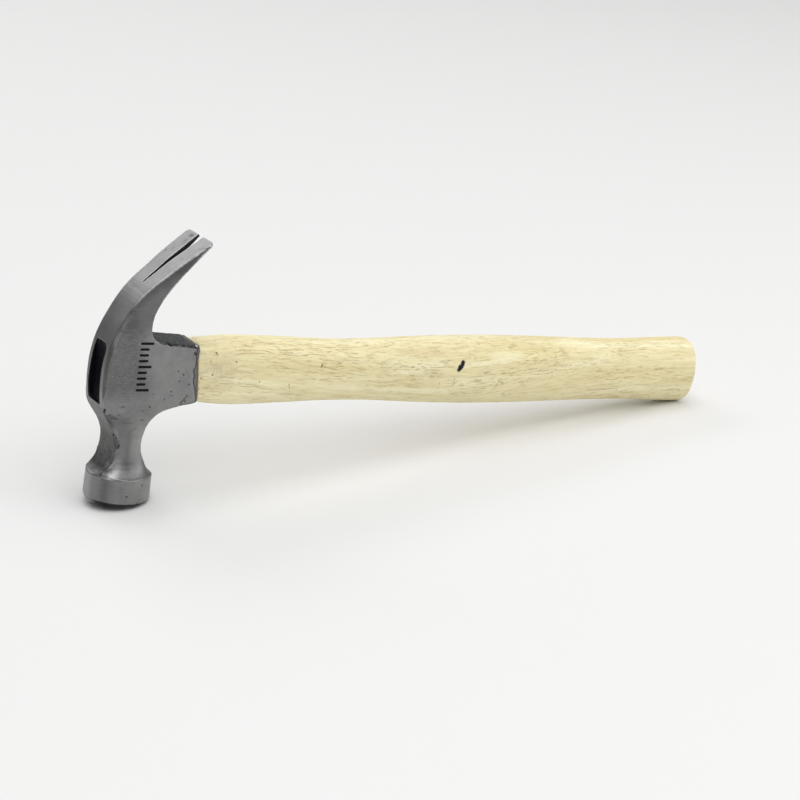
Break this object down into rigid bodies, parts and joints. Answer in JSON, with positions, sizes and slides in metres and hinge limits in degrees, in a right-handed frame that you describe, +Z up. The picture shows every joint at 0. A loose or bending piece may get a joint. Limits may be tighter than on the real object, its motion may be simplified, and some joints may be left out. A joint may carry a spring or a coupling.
{
  "type": "claw hammer",
  "caption": "Small claw hammer: ground forged head with round striking face and split nail claw, wedged on a straight oval hardwood handle.",
  "frame": {"origin": "middle of the footprint on the bench: centre of the bounding box in X and Y, bench plane at Z = 0", "axes": "the hammer stands on the handle edge of its striking face and the underside of its butt; +Z up, +X from the head to the butt, +Y across the cheeks. The handle axis falls about 8.5 degrees from the head to the butt"},
  "size_m": [0.2912, 0.0266, 0.1042],
  "materials": {
    "head_steel": "ground satin, with as-forged patches at the socket",
    "handle_wood": "bare pale hardwood, sanded",
    "wedge_wood": "dry hardwood, unfinished",
    "wedge_steel": "plain mild steel",
    "resin": "black cast resin, semi-gloss"
  },
  "bodies": {
    "root": {"head": "head_steel", "handle": "handle_wood", "wood_wedge": "wedge_wood", "steel_wedge_upper": "wedge_steel", "steel_wedge_lower": "wedge_steel", "resin_seal": "resin"}
  },
  "joints": []
}
